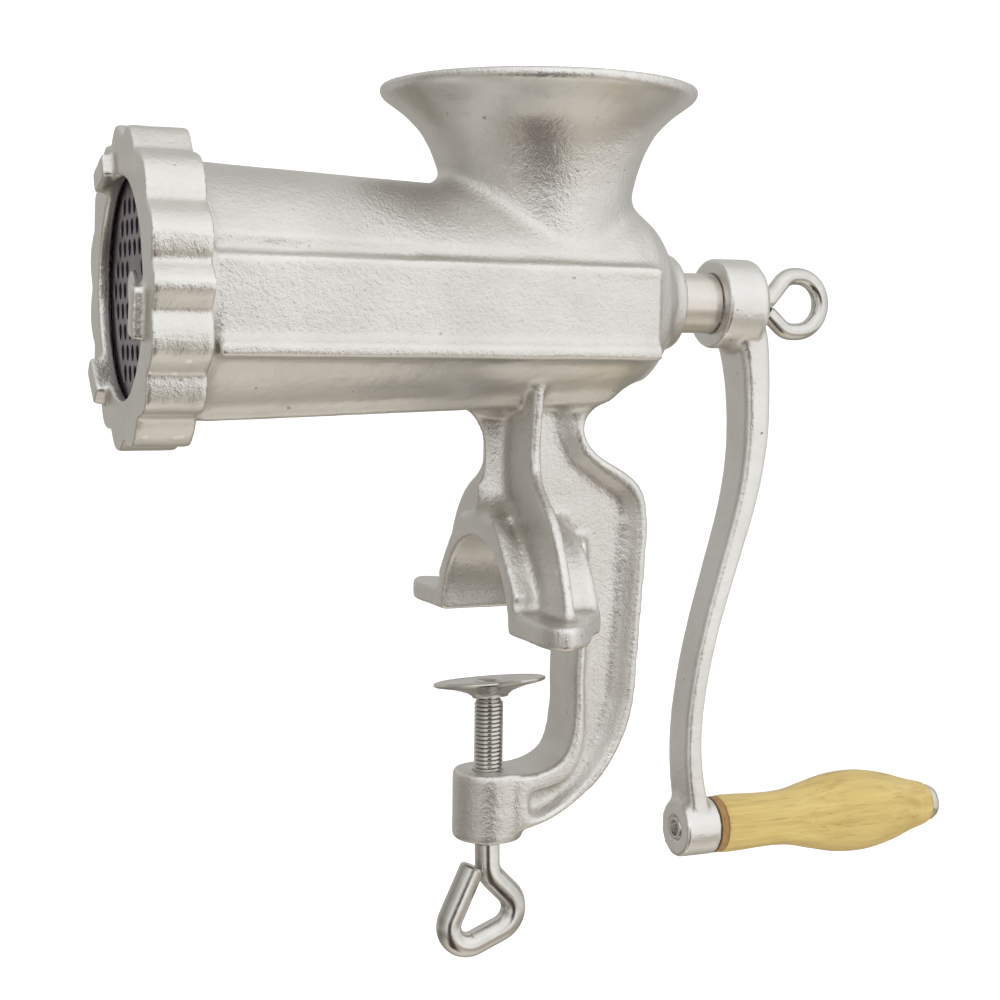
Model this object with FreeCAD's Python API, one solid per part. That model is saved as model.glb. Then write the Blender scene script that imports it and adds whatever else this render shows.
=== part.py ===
import FreeCAD, Part
import math
import os

# Hand crank meat grinder, size 5, that clamps on a table edge.
# Millimetres. The origin is on the table's top, under the saddle jaw, on the axis
# of the clamp screw. +Z is up, -X is the outlet end and +X is the crank end.

# Driving dimensions
AXIS_Z = 77.0
PLATE_DIAMETER = 54.0
PLATE_THICKNESS = 5.0
RING_HOLE_RADIUS = 24.25
RING_TIP_RADIUS = 35.6
RING_TROUGH_RADIUS = 31.1
RING_LOBES = 15
RING_FRONT_X = -88.3
RING_BACK_X = -73.8
RING_LIP = 3.0
LUG_HEIGHT = 3.0
LUG_WIDTH = 10.8
LUG_OUTER_RADIUS = 29.4
LUG_ANGLES = (11.0, 131.0, 251.0)
THREAD_RADIUS = 29.3
THREAD_GAP = 0.3
MOUTH_X = -84.0
BORE_RADIUS = 21.6
BORE_END_X = 33.0
KNIFE_CHAMBER_RADIUS = 24.0
PLATE_SEAT_X = -80.0
KNIFE_BACK_X = -75.5
BARREL_END_X = 46.4
PANEL_START_X = -72.8
PANEL_END_X = 30.6
PANEL_TOP_Z = 84.3
PANEL_BOTTOM_Z = 63.3
PANEL_DEPTH = 26.8
PANEL_LIP = 1.8
KEEL_HALF_WIDTH = 11.5
KEY_RADIUS = 2.0
JOURNAL_RADIUS = 7.4
SQUARE_SIDE = 9.0
STUD_RADIUS = 4.0
RUNNING_GAP = 0.08
TIGHT_GAP = 0.02
TURNING_GAP = 0.1
HOPPER_X = 10.6
HOPPER_RIM_Z = 126.4
THROAT_RADIUS = 17.6
FRAME_HALF_WIDTH = 8.5
WEB_HALF_THICKNESS = 5.0
PROW_HALF_WIDTH = 1.5
JAW_FRONT_X = -4.5
JAW_BACK_X = 19.5
ARCH_HALF_WIDTH = 20.4
ARCH_HEIGHT = 20.5
ARCH_WALL = 4.5
ARCH_BACK_X = 17.0
FOOT_REACH = 46.0
FOOT_THICKNESS = 5.5
SADDLE_TOP_Z = 30.0
BOSS_RADIUS = 8.6
BOSS_TOP_Z = -35.7
BOSS_BOTTOM_Z = -52.7
SCREW_RADIUS = 3.5
SCREW_ROOT = 2.95
SCREW_PITCH = 1.0
LOOP_ROD = 2.85
DISC_RADIUS = 13.6
DISC_TOP_Z = -14.0
HUB_START_X = 57.8
HUB_END_X = 70.2
HUB_RADIUS = 11.1
CRANK_RADIUS = 132.5
GRIP_BOSS_START_X = 51.6
GRIP_BOSS_END_X = 61.4
GRIP_BOSS_RADIUS = 7.2
PIN_RADIUS = 2.9
GRIP_START_X = 63.7
GRIP_END_X = 128.5
EYE_ROD = 2.15

V = FreeCAD.Vector
X_AXIS = V(1, 0, 0)
Y_AXIS = V(0, 1, 0)
Z_AXIS = V(0, 0, 1)
GRIP_Z = AXIS_Z - CRANK_RADIUS


def save(name, shape):
    """Write one sub-part and print its size."""
    box = shape.BoundBox
    print(name, "valid", shape.isValid(), "solids", len(shape.Solids), "volume", round(shape.Volume),
          "x", round(box.XMin, 1), round(box.XMax, 1), "y", round(box.YMin, 1), round(box.YMax, 1),
          "z", round(box.ZMin, 1), round(box.ZMax, 1))
    shape.exportStep("parts/" + name + ".step")


def curve(points):
    """A smooth edge through points."""
    spline = Part.BSplineCurve()
    spline.interpolate(points)
    return spline.toShape()


def turned_x(profile, z=AXIS_Z):
    """Turn a closed (x, radius) outline round an axis along X at height z."""
    points = [V(x, 0, z + r) for x, r in profile]
    face = Part.Face(Part.makePolygon(points + points[:1]))
    return face.revolve(V(0, 0, z), X_AXIS, 360)


def turned_x_smooth(profile, x_start, x_end, z):
    """Turn a smooth (x, radius) outline, closed along its axis."""
    points = [V(x, 0, z + r) for x, r in profile]
    edges = [curve(points),
             Part.makeLine(points[-1], V(x_end, 0, z)),
             Part.makeLine(V(x_end, 0, z), V(x_start, 0, z)),
             Part.makeLine(V(x_start, 0, z), points[0])]
    return Part.Face(Part.Wire(edges)).revolve(V(0, 0, z), X_AXIS, 360)


def turned_z(profile, x=0.0):
    """Turn a closed (radius, z) outline round a vertical axis at x."""
    points = [V(x + r, 0, z) for r, z in profile]
    face = Part.Face(Part.makePolygon(points + points[:1]))
    return face.revolve(V(x, 0, 0), Z_AXIS, 360)


def rod_x(radius, x_start, x_end, z=AXIS_Z, y=0.0):
    return Part.makeCylinder(radius, x_end - x_start, V(x_start, y, z), X_AXIS)


def rod_z(radius, z_start, z_end, x=0.0):
    return Part.makeCylinder(radius, z_end - z_start, V(x, 0, z_start), Z_AXIS)


def box(x0, x1, y0, y1, z0, z1):
    return Part.makeBox(x1 - x0, y1 - y0, z1 - z0, V(x0, y0, z0))


def square_x(side, x_start, x_end):
    half = side / 2
    return box(x_start, x_end, -half, half, AXIS_Z - half, AXIS_Z + half)


def mirrored(shape):
    """A shape and its mirror image on the other side of the XZ plane."""
    return [shape, shape.mirror(V(0, 0, 0), Y_AXIS)]


def union(shapes):
    return shapes[0].multiFuse(shapes[1:]).removeSplitter()


def half_ellipse_prism(half_width, height, x_start, x_end):
    """A half ellipse standing on the table plane, drawn along X."""
    ellipse = Part.Ellipse(V(0, 0, 0), max(half_width, height), min(half_width, height))
    edge = ellipse.toShape()
    if half_width >= height:
        turn = FreeCAD.Rotation(Y_AXIS, Z_AXIS, X_AXIS, "XYZ")
    else:
        turn = FreeCAD.Rotation(Z_AXIS, -Y_AXIS, X_AXIS, "XYZ")
    edge.Placement = FreeCAD.Placement(V(x_start, 0, 0), turn)
    prism = Part.Face(Part.Wire([edge])).extrude(V(x_end - x_start, 0, 0))
    reach = 2 * max(half_width, height)
    return prism.common(box(x_start, x_end, -reach, reach, 0, reach))


def bent_wire(corners, radii):
    """Straight runs through (x, z) corners in the XZ plane, joined by tangent arcs."""
    points = [V(x, 0, z) for x, z in corners]
    edges = []
    start = points[0]
    for before, corner, after, radius in zip(points, points[1:], points[2:], radii):
        back = (before - corner).normalize()
        ahead = (after - corner).normalize()
        half_angle = back.getAngle(ahead) / 2
        setback = radius / math.tan(half_angle)
        arc_start = corner + back * setback
        arc_end = corner + ahead * setback
        middle = (back + ahead).normalize()
        arc_middle = corner + middle * (radius / math.sin(half_angle) - radius)
        edges.append(Part.makeLine(start, arc_start))
        edges.append(Part.Arc(arc_start, arc_middle, arc_end).toShape())
        start = arc_end
    edges.append(Part.makeLine(start, points[-1]))
    return Part.Wire(edges)


def bent_rod(corners, radii, rod_radius):
    """A round rod bent along straight runs and arcs."""
    path = bent_wire(corners, radii)
    first = path.Edges[0]
    direction = first.tangentAt(first.FirstParameter)
    ring = Part.Wire([Part.makeCircle(rod_radius, first.valueAt(first.FirstParameter), direction)])
    return path.makePipeShell([ring], True, False)


def barrel_envelope():
    """The barrel's outside, filled."""
    outline = [(MOUTH_X, 0), (MOUTH_X, THREAD_RADIUS), (-74.6, THREAD_RADIUS), (-73.4, 28.3),
               (-14.0, 25.9), (26.0, 24.6), (32.5, 22.9), (37.0, 19.8), (40.0, 16.0), (41.5, 12.0),
               (45.4, 12.0), (BARREL_END_X, 11.0), (BARREL_END_X, 0)]
    return turned_x(outline)


def panel():
    """The flat raised panel along the near side, with a lip on its two long edges."""
    lip_depth = PANEL_DEPTH + 0.8
    plate = box(PANEL_START_X, PANEL_END_X, -PANEL_DEPTH, -12.0, PANEL_BOTTOM_Z, PANEL_TOP_Z)
    lips = [box(PANEL_START_X, PANEL_END_X, -lip_depth, -20.0, z, z + PANEL_LIP)
            for z in (PANEL_BOTTOM_Z, PANEL_TOP_Z - PANEL_LIP)]
    return union([plate] + lips)


def keel():
    """The flat strip along the underside, which tapers with the barrel."""
    half = KEEL_HALF_WIDTH
    wires = []
    for x, depth in [(PANEL_START_X, 28.4), (-14.0, 26.1), (PANEL_END_X, 24.4)]:
        low = AXIS_Z - depth
        high = low + 6.0
        wires.append(Part.makePolygon([V(x, -half, low), V(x, half, low), V(x, half, high),
                                       V(x, -half, high), V(x, -half, low)]))
    return Part.makeLoft(wires, True, True)


def barrel_outside():
    return union([barrel_envelope(), panel(), keel()])


def throat():
    """The way down from the hopper into the bore."""
    return rod_z(THROAT_RADIUS, AXIS_Z, AXIS_Z + 30.0, HOPPER_X)


def barrel():
    shape = barrel_outside()
    bore = turned_x([(KNIFE_BACK_X - 1, 0), (KNIFE_BACK_X - 1, BORE_RADIUS), (26.0, BORE_RADIUS),
                     (BORE_END_X, 16.5), (BORE_END_X, 0)])
    shape = shape.cut(bore)
    shape = shape.cut(rod_x(KNIFE_CHAMBER_RADIUS, MOUTH_X - 1, KNIFE_BACK_X))
    shape = shape.cut(rod_x(PLATE_DIAMETER / 2 + 0.2, MOUTH_X - 1, PLATE_SEAT_X))
    shape = shape.cut(rod_x(JOURNAL_RADIUS + RUNNING_GAP, BORE_END_X - 1, BARREL_END_X + 1))
    shape = shape.cut(throat())
    return shape.cut(key_pin_rod())


def hopper():
    """The funnel, from its rim down to the top of the barrel."""
    wall = [(37.4, HOPPER_RIM_Z), (37.9, HOPPER_RIM_Z - 1.2), (37.2, HOPPER_RIM_Z - 2.6), (32.0, 120.2),
            (28.0, 116.2), (25.5, 111.8), (23.7, 107.0), (22.5, 102.0), (22.0, 96.0), (22.0, 80.0)]
    inside = [(THROAT_RADIUS, 80.0), (THROAT_RADIUS, 100.0), (19.6, 107.0), (21.6, 111.8), (24.2, 116.2),
              (28.6, 121.0), (34.2, HOPPER_RIM_Z)]
    return turned_z(wall + inside, HOPPER_X).cut(barrel_outside())


def side_face(runs):
    """A face in the XZ plane from runs of (x, z) points: smooth within a run, straight between runs."""
    corners = [[V(x, 0, z) for x, z in run] for run in runs]
    edges = []
    for index, run in enumerate(corners):
        if len(run) > 1:
            edges.append(curve(run))
        edges.append(Part.makeLine(run[-1], corners[(index + 1) % len(corners)][0]))
    return Part.Face(Part.Wire(edges))


def frame_outline():
    """The side outline of the neck, the C frame and the lower arm."""
    front = [(-11.0, 54.0), (-5.2, 49.0), (-3.0, 44.6), (-2.7, 39.0), (-3.4, 33.5), (JAW_FRONT_X, 28.5)]
    crown = [(JAW_FRONT_X, 22.6)]
    crown_back = [(JAW_BACK_X, 22.6)]
    inner = [(JAW_BACK_X, -8.0), (19.3, -20.5), (18.6, -27.6), (16.5, -32.8), (12.6, -35.2), (4.0, -36.2)]
    outer = [(4.0, -49.7), (15.1, -47.0), (21.2, -43.2), (25.8, -39.3), (31.1, -31.9), (34.5, -23.5),
             (35.7, -14.0), (36.6, 0.0), (37.6, 14.0), (37.9, 24.1), (36.0, 32.0), (30.5, 36.6),
             (23.5, 41.0), (20.6, 46.5), (23.0, 50.8), (31.0, 55.5)]
    return side_face([front, crown, crown_back, inner, outer])


def recess_outline():
    """The hollow in each side of the stand, between its front and back flanges."""
    front = [(0.4, 56.0), (0.4, 48.0), (0.3, 40.0), (-0.7, 32.6), (-1.6, 27.0)]
    crown = [(-1.6, 20.0)]
    crown_back = [(22.1, 20.0)]
    inner = [(22.1, -8.6), (22.0, -22.7), (21.0, -32.5), (18.8, -37.0), (14.2, -39.4), (7.4, -40.6)]
    outer = [(7.4, -46.6), (16.1, -45.0), (22.8, -40.6), (27.3, -34.0), (30.0, -25.0), (30.8, -12.0),
             (31.6, 2.0), (32.4, 16.0), (32.2, 24.6), (29.6, 29.2), (24.8, 32.9), (18.9, 37.2),
             (15.8, 42.0), (15.0, 48.0), (15.4, 56.0)]
    return side_face([front, crown, crown_back, inner, outer])


def prow_cut():
    """One wedge off the front of the neck, which leaves a narrow nose with sloping sides."""
    wires = []
    for nose_x, z, half_width in [(-12.5, 56.0, PROW_HALF_WIDTH), (-5.2, 49.0, PROW_HALF_WIDTH),
                                  (-3.0, 44.6, PROW_HALF_WIDTH), (-2.7, 39.0, PROW_HALF_WIDTH),
                                  (-3.4, 33.5, 2.8), (JAW_FRONT_X, 28.5, 6.4), (JAW_FRONT_X, 25.0, 9.4)]:
        wide = FRAME_HALF_WIDTH + 2.0
        slope = (FRAME_HALF_WIDTH - PROW_HALF_WIDTH) / 2.6
        back_x = nose_x + (wide - half_width) / slope
        ahead_x = nose_x - 4.0
        wires.append(Part.makePolygon([V(nose_x, half_width, z), V(back_x, wide, z), V(ahead_x, wide, z),
                                       V(ahead_x, half_width, z), V(nose_x, half_width, z)]))
    return Part.makeLoft(wires, True, True)


def arch_prism(wall, x_start, x_end):
    """The saddle's arch, made larger all round by a wall."""
    return half_ellipse_prism(ARCH_HALF_WIDTH + wall, ARCH_HEIGHT + wall, x_start, x_end)


def stand():
    """Neck, saddle jaw, C frame of I section and the boss for the clamp screw, in one piece."""
    outline = frame_outline()
    outline.translate(V(0, -FRAME_HALF_WIDTH, 0))
    beam = outline.extrude(V(0, 2 * FRAME_HALF_WIDTH, 0))
    recess = recess_outline()
    recess.translate(V(0, WEB_HALF_THICKNESS, 0))
    for pocket in mirrored(recess.extrude(V(0, FRAME_HALF_WIDTH, 0))):
        beam = beam.cut(pocket)
    for wedge in mirrored(prow_cut()):
        beam = beam.cut(wedge)
    arch = arch_prism(ARCH_WALL, JAW_FRONT_X, ARCH_BACK_X)
    rim = arch_prism(ARCH_WALL + 1.0, ARCH_BACK_X - 3.0, ARCH_BACK_X)
    boss = rod_z(BOSS_RADIUS, BOSS_BOTTOM_Z, BOSS_TOP_Z)
    parts = [beam, arch, rim, boss, front_skirt()]
    parts += mirrored(foot()) + mirrored(side_rib())
    shape = union(parts)
    shape = shape.cut(arch_prism(0, JAW_FRONT_X - 5, JAW_BACK_X))
    shape = shape.cut(rod_z(SCREW_RADIUS + 0.05, BOSS_BOTTOM_Z - 1, BOSS_TOP_Z + 1))
    return shape.cut(barrel_outside())


def saddle_block():
    """The space that holds the saddle, below the neck and in front of the frame's spine."""
    reach = 2 * FOOT_REACH
    return box(-reach, JAW_BACK_X, -reach, reach, -FOOT_THICKNESS, SADDLE_TOP_Z)


def saddle():
    return stand().common(saddle_block())


def clamp_frame():
    return stand().cut(saddle_block())


def front_skirt():
    """The front plate that spreads from the neck down on to the two legs."""
    outline = [(2.8, 33.5), (6.4, 28.5), (12.0, 23.8), (19.2, 15.8), (24.6, 9.0)]
    right = [V(JAW_FRONT_X, y, z) for y, z in outline]
    left = [V(JAW_FRONT_X, -y, z) for y, z in reversed(outline)]
    edges = [curve(right),
             Part.makeLine(right[-1], left[0]),
             curve(left),
             Part.makeLine(left[-1], right[0])]
    return Part.Face(Part.Wire(edges)).extrude(V(4.0, 0, 0))


def foot():
    """One foot of the saddle: a rounded tongue that rests on the table."""
    inside = ARCH_HALF_WIDTH - 3.0
    outline = [V(JAW_FRONT_X, 30.0, 0), V(-4.8, 37.0, 0), V(-3.8, 43.0, 0), V(-0.6, FOOT_REACH, 0),
               V(3.8, 44.0, 0), V(9.4, 36.5, 0), V(ARCH_BACK_X, 26.0, 0)]
    edges = [curve(outline),
             Part.makeLine(outline[-1], V(ARCH_BACK_X, inside, 0)),
             Part.makeLine(V(ARCH_BACK_X, inside, 0), V(JAW_FRONT_X, inside, 0)),
             Part.makeLine(V(JAW_FRONT_X, inside, 0), outline[0])]
    return Part.Face(Part.Wire(edges)).extrude(V(0, 0, FOOT_THICKNESS))


def side_rib():
    """The upright rib from one foot to the side of the barrel."""
    x_start = 2.4
    thickness = 2.8
    outline = [(22.0, 63.0), (21.2, 54.0), (19.4, 45.0), (19.3, 39.6), (21.6, 33.6), (27.8, 26.8),
               (33.2, 18.0), (38.2, 4.0)]
    outer = [V(x_start, y, z) for y, z in outline]
    low = V(x_start, 2.0, outline[-1][1])
    high = V(x_start, 2.0, outline[0][1])
    edges = [curve(outer),
             Part.makeLine(outer[-1], low),
             Part.makeLine(low, high),
             Part.makeLine(high, outer[0])]
    return Part.Face(Part.Wire(edges)).extrude(V(thickness, 0, 0))


def key_pin_rod():
    """The pin in the mouth that keeps the plate from turning."""
    return rod_x(KEY_RADIUS, MOUTH_X + 0.2, PLATE_SEAT_X + 2.0, AXIS_Z - PLATE_DIAMETER / 2)


def grinding_plate():
    hole_radius = 1.85
    pitch = 5.3
    reach = 23.2
    x_start = PLATE_SEAT_X - PLATE_THICKNESS
    centre_hole = STUD_RADIUS + TURNING_GAP
    rows = int(reach / (pitch * math.sqrt(3) / 2)) + 1
    wires = [Part.Wire([Part.makeCircle(PLATE_DIAMETER / 2, V(x_start, 0, AXIS_Z), X_AXIS)]),
             Part.Wire([Part.makeCircle(centre_hole, V(x_start, 0, AXIS_Z), X_AXIS)])]
    for row in range(-rows, rows + 1):
        z = row * pitch * math.sqrt(3) / 2
        shift = pitch / 2 * (row % 2)
        for column in range(-6, 7):
            y = column * pitch + shift
            distance = math.hypot(y, z)
            if centre_hole + 3.4 < distance < reach - hole_radius:
                wires.append(Part.Wire([Part.makeCircle(hole_radius, V(x_start, y, AXIS_Z + z), X_AXIS)]))
    plate = Part.Face(wires, "Part::FaceMakerCheese").extrude(V(PLATE_THICKNESS - TURNING_GAP, 0, 0))
    notch = rod_x(KEY_RADIUS + 0.4, x_start - 1, PLATE_SEAT_X + 1, AXIS_Z - PLATE_DIAMETER / 2)
    return plate.cut(notch)


def ring_outline():
    """The scalloped outline: round lobes joined by round hollows."""
    step = 2 * math.pi / RING_LOBES
    phase = math.radians(14.0)
    edges = []
    for lobe in range(RING_LOBES):
        trough = phase + lobe * step
        angles = [trough, trough + 0.22 * step, trough + 0.5 * step, trough + 0.78 * step, trough + step]
        middle = (RING_TIP_RADIUS + RING_TROUGH_RADIUS) / 2 + 0.5
        radii = [RING_TROUGH_RADIUS, middle, RING_TIP_RADIUS, middle, RING_TROUGH_RADIUS]
        points = [V(RING_FRONT_X, -radius * math.cos(angle), AXIS_Z - radius * math.sin(angle))
                  for angle, radius in zip(angles, radii)]
        edges.append(curve(points))
    return Part.Wire(edges)


def ring_lug(angle):
    """One lug on the ring's front, for turning it with a bar."""
    half = LUG_WIDTH / 2
    lug = box(RING_FRONT_X - LUG_HEIGHT, RING_FRONT_X + 1.0, -LUG_OUTER_RADIUS, -RING_HOLE_RADIUS,
              AXIS_Z - half, AXIS_Z + half)
    lug.rotate(V(0, 0, AXIS_Z), X_AXIS, angle)
    return lug


def ring_nut():
    length = RING_BACK_X - RING_FRONT_X
    shape = Part.Face(ring_outline()).extrude(V(length, 0, 0))
    shape = union([shape] + [ring_lug(angle) for angle in LUG_ANGLES])
    shape = shape.cut(rod_x(RING_HOLE_RADIUS, RING_FRONT_X - 6, RING_BACK_X + 1))
    return shape.cut(rod_x(THREAD_RADIUS + THREAD_GAP, RING_FRONT_X + RING_LIP, RING_BACK_X + 1))


def worm_section(x):
    """The worm's cross section: a round core with one flight that stands out of it."""
    core_radius = 9.5
    flight_radius = BORE_RADIUS - 0.6
    tip_half = math.radians(19)
    root_half = math.radians(52)

    def at(radius, angle):
        return V(x, radius * math.cos(angle), AXIS_Z + radius * math.sin(angle))

    tip_start = at(flight_radius, -tip_half)
    tip_end = at(flight_radius, tip_half)
    core_start = at(core_radius, root_half)
    core_end = at(core_radius, -root_half)
    edges = [Part.Arc(tip_start, at(flight_radius, 0), tip_end).toShape(),
             Part.makeLine(tip_end, core_start),
             Part.Arc(core_start, at(core_radius, math.pi), core_end).toShape(),
             Part.makeLine(core_end, tip_start)]
    return Part.Wire(edges)


def auger():
    """The worm with its rear journal, squared end and tapped hole."""
    front = -75.2
    worm_length = 99.0
    pitch = 27.0
    axis_start = V(front, 0, AXIS_Z)
    spine = Part.Wire([Part.makeLine(axis_start, axis_start + X_AXIS * worm_length)])
    helix = Part.makeHelix(pitch, worm_length, BORE_RADIUS)
    helix.Placement = FreeCAD.Placement(axis_start, FreeCAD.Rotation(Y_AXIS, Z_AXIS, X_AXIS, "XYZ"))
    sweep = Part.BRepOffsetAPI.MakePipeShell(spine)
    sweep.setAuxiliarySpine(Part.Wire(helix.Edges), True, 0)
    sweep.add(worm_section(front))
    sweep.build()
    sweep.makeSolid()
    worm = sweep.shape()
    worm_end = front + worm_length
    tail = turned_x([(worm_end, 0), (worm_end, 11.0), (30.9, 11.0), (30.9, JOURNAL_RADIUS),
                     (HUB_START_X - 0.2, JOURNAL_RADIUS), (HUB_START_X - 0.2, 0)])
    shape = worm.fuse(tail)
    shape = shape.cut(rod_x(STUD_RADIUS + TIGHT_GAP, front - 1, front + 14.0))
    shape = shape.fuse(square_x(SQUARE_SIDE, HUB_START_X - 1.0, HUB_END_X - 1.0))
    return shape.cut(rod_x(2.5, 46.0, HUB_END_X))


def knife_stud():
    """The stud pressed in the worm: square for the knife, round pilot for the plate."""
    shank = rod_x(STUD_RADIUS, -75.8, -62.0)
    square = square_x(SQUARE_SIDE, -79.8, -75.3)
    pilot = rod_x(STUD_RADIUS, -85.6, -79.8)
    return union([shank, square, pilot])


def knife():
    """Four blades on a square hub, flat side to the plate."""
    x_start = -79.9
    x_end = -75.9
    shape = rod_x(9.5, x_start, x_end)
    for quarter in range(4):
        blade = Part.makePolygon([V(x_start, -2.2, AXIS_Z + 5), V(x_start, 4.6, AXIS_Z + 5),
                                  V(x_start, 6.2, AXIS_Z + 22.4), V(x_start, 0.2, AXIS_Z + 23.0),
                                  V(x_start, -2.2, AXIS_Z + 5)])
        solid = Part.Face(blade).extrude(V(x_end - x_start, 0, 0))
        solid.rotate(V(0, 0, AXIS_Z), X_AXIS, 90 * quarter)
        shape = shape.fuse(solid)
    return shape.cut(square_x(SQUARE_SIDE + TURNING_GAP, x_start - 1, x_end + 1))


def thrust_washer():
    hole = rod_x(JOURNAL_RADIUS + 0.2, BORE_END_X - 2, BORE_END_X)
    return rod_x(13.0, BORE_END_X - 1.8, BORE_END_X - 0.2).cut(hole)


def arm_section(x, z, slope, half_width, half_thickness):
    """A rounded rectangle across the arm; slope is the arm's lean from the vertical."""
    across = V(math.cos(slope), 0, math.sin(slope))
    corner = 0.55 * half_thickness
    centre = V(x, 0, z)
    signs = [(1, 1), (-1, 1), (-1, -1), (1, -1)]
    edges = []
    previous = None
    first = None
    for side, face in signs:
        outer = centre + Y_AXIS * (side * half_width) + across * (face * half_thickness)
        along_y = outer - Y_AXIS * (side * corner)
        along_x = outer - across * (face * corner)
        middle = outer - (Y_AXIS * side + across * face) * (corner * (1 - math.sqrt(0.5)))
        start, end = (along_x, along_y) if side * face > 0 else (along_y, along_x)
        if previous is not None:
            edges.append(Part.makeLine(previous, start))
        else:
            first = start
        edges.append(Part.Arc(start, middle, end).toShape())
        previous = end
    edges.append(Part.makeLine(previous, first))
    return Part.Wire(edges)


def crank_arm():
    """The S-shaped arm between the hub and the boss of the handle."""
    stations = [(66.4, -6.0, 7.6, 4.4), (69.0, -16.0, 6.6, 3.8), (69.8, -29.0, 6.0, 3.5),
                (68.7, -43.0, 5.6, 3.1), (66.2, -54.0, 5.4, 2.8), (62.1, -68.0, 5.2, 2.6),
                (58.5, -80.5, 5.1, 2.4), (55.6, -94.0, 5.1, 2.3), (54.2, -106.0, 5.2, 2.3),
                (54.4, -117.0, 5.4, 2.4), (56.2, -128.0, 5.8, 3.0)]
    wires = []
    for index, (x, z, half_width, half_thickness) in enumerate(stations):
        before = stations[max(index - 1, 0)]
        after = stations[min(index + 1, len(stations) - 1)]
        slope = -math.atan2(after[0] - before[0], before[1] - after[1])
        wires.append(arm_section(x, AXIS_Z + z, -slope, half_width, half_thickness))
    arm = Part.makeLoft(wires, True, False)
    hub = turned_x([(HUB_START_X, 0), (HUB_START_X, 10.6), (HUB_START_X + 0.6, HUB_RADIUS),
                    (HUB_END_X - 2.0, HUB_RADIUS), (HUB_END_X - 0.4, 9.6), (HUB_END_X, 8.4),
                    (HUB_END_X, 0)])
    boss = rod_x(GRIP_BOSS_RADIUS, GRIP_BOSS_START_X, GRIP_BOSS_END_X, GRIP_Z)
    shape = union([arm, hub, boss])
    shape = shape.cut(square_x(SQUARE_SIDE + TURNING_GAP, HUB_START_X - 1, HUB_END_X - 0.9))
    shape = shape.cut(rod_x(2.8, HUB_START_X, HUB_END_X + 1))
    shape = shape.cut(rod_x(JOURNAL_RADIUS + 0.2, HUB_START_X - 1, HUB_START_X + 0.4))
    return shape.cut(rod_x(PIN_RADIUS + TIGHT_GAP, GRIP_BOSS_START_X - 1, GRIP_BOSS_END_X + 1, GRIP_Z))


def eye_screw():
    """The bent-rod screw that holds the crank on the shaft."""
    tip = 50.0
    shank = rod_x(2.42, tip, 73.6)
    corners = [(71.6, 0), (74.6, 0.9), (80.0, 7.4), (90.2, 7.4), (90.2, -6.6), (80.0, -6.6), (74.6, -1.9)]
    loop = bent_rod([(x, AXIS_Z + z) for x, z in corners], [2.0, 5.0, 6.95, 6.95, 5.0], EYE_ROD)
    return union([shank, loop])


def handle_pin():
    """The pin that is riveted in the crank's boss, hollow at its riveted end."""
    shape = rod_x(PIN_RADIUS, GRIP_BOSS_START_X - 0.2, GRIP_END_X + 0.7, GRIP_Z)
    return shape.cut(rod_x(1.9, GRIP_BOSS_START_X - 1, GRIP_BOSS_START_X + 3.0, GRIP_Z))


def end_washer():
    """The domed steel washer on the outer end of the handle pin."""
    dome = turned_x([(128.9, 0), (128.9, 4.9), (129.8, 4.7), (130.5, 3.6), (130.7, 0)], GRIP_Z)
    return dome.cut(rod_x(PIN_RADIUS + TIGHT_GAP, GRIP_END_X, GRIP_END_X + 0.72, GRIP_Z))


def wood_grip():
    outline = [(GRIP_START_X, 7.3), (70.0, 7.2), (78.0, 6.9), (84.5, 7.3), (91.0, 8.8), (98.5, 10.3),
               (106.5, 10.5), (114.5, 9.1), (121.5, 7.1), (GRIP_END_X, 5.4)]
    shape = turned_x_smooth(outline, GRIP_START_X, GRIP_END_X, GRIP_Z)
    return shape.cut(rod_x(PIN_RADIUS + TURNING_GAP, GRIP_START_X - 1, GRIP_END_X + 1, GRIP_Z))


def grip_collar():
    hole = rod_x(PIN_RADIUS + TURNING_GAP, GRIP_BOSS_END_X, GRIP_START_X, GRIP_Z)
    return rod_x(7.1, GRIP_BOSS_END_X + 0.3, GRIP_START_X - 0.3, GRIP_Z).cut(hole)


def clamp_screw():
    """The threaded rod with its bent loop; the threads are rings of the screw's pitch."""
    top = DISC_TOP_Z - 4.6
    bottom = BOSS_BOTTOM_Z - 2.0
    turns = int((top - bottom) / SCREW_PITCH)
    outline = [(0, top), (SCREW_ROOT, top)]
    for turn in range(turns):
        z = top - turn * SCREW_PITCH
        outline += [(SCREW_RADIUS, z - 0.4 * SCREW_PITCH), (SCREW_RADIUS, z - 0.6 * SCREW_PITCH),
                    (SCREW_ROOT, z - SCREW_PITCH)]
    outline += [(0, outline[-1][1])]
    thread = turned_z(outline)
    spigot = rod_z(2.4, top - 1.0, DISC_TOP_Z + 0.2)
    head = turned_z([(0, DISC_TOP_Z - 0.9), (3.6, DISC_TOP_Z - 0.9), (3.2, DISC_TOP_Z + 0.1),
                     (0, DISC_TOP_Z + 0.4)])
    rod_start = outline[-1][1]
    loop = bent_rod([(0, rod_start + 1.0), (0.2, -61.4), (11.4, -72.8), (-14.6, -83.3), (-3.6, -59.6)],
                    [6.5, 5.6, 5.0], LOOP_ROD)
    return union([thread, spigot, head, loop])


def clamp_disc():
    """The dished disc that presses up against the table."""
    outline = [(2.5, -1.1), (4.2, -1.1), (4.8, -0.4), (DISC_RADIUS, 0.0), (DISC_RADIUS, -1.1), (9.0, -1.9),
               (4.6, -3.6), (4.2, -4.3), (2.5, -4.3)]
    return turned_z([(radius, DISC_TOP_Z + drop) for radius, drop in outline])


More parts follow.
